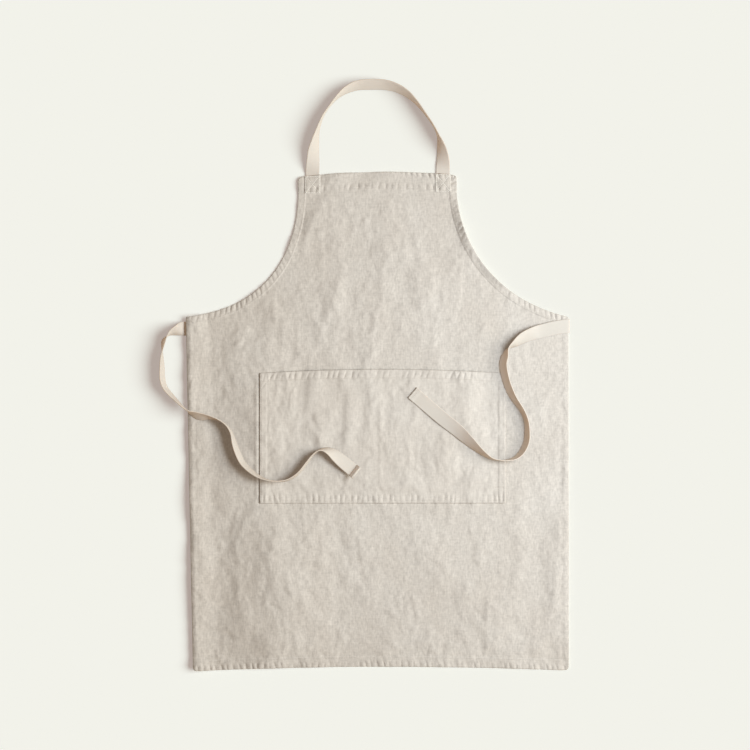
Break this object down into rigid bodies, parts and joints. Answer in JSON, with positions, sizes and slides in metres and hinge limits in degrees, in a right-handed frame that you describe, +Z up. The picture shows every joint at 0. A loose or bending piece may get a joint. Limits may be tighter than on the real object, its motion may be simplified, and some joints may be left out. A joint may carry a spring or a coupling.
{
  "type": "bib apron",
  "caption": "Linen bib apron with a wide patch pocket, a tape neck loop and tape waist ties, laid out flat on its back.",
  "frame": {"origin": "middle of the panel's back, on the surface that the apron lies on", "axes": "+X to the right across the front as seen from above, +Y towards the neck, +Z up out of the front"},
  "size_m": [0.7503, 1.0822, 0.0372],
  "materials": {
    "linen": "washed plain-weave linen, unbleached cream",
    "pocket_linen": "washed plain-weave linen, unbleached cream",
    "strap_tape": "cotton twill tape, natural",
    "tie_tape": "cotton twill tape, natural"
  },
  "bodies": {
    "root": {"panel": "linen", "pocket": "pocket_linen", "neck_strap": "strap_tape", "waist_tie_left": "tie_tape", "waist_tie_right": "tie_tape"}
  },
  "joints": []
}
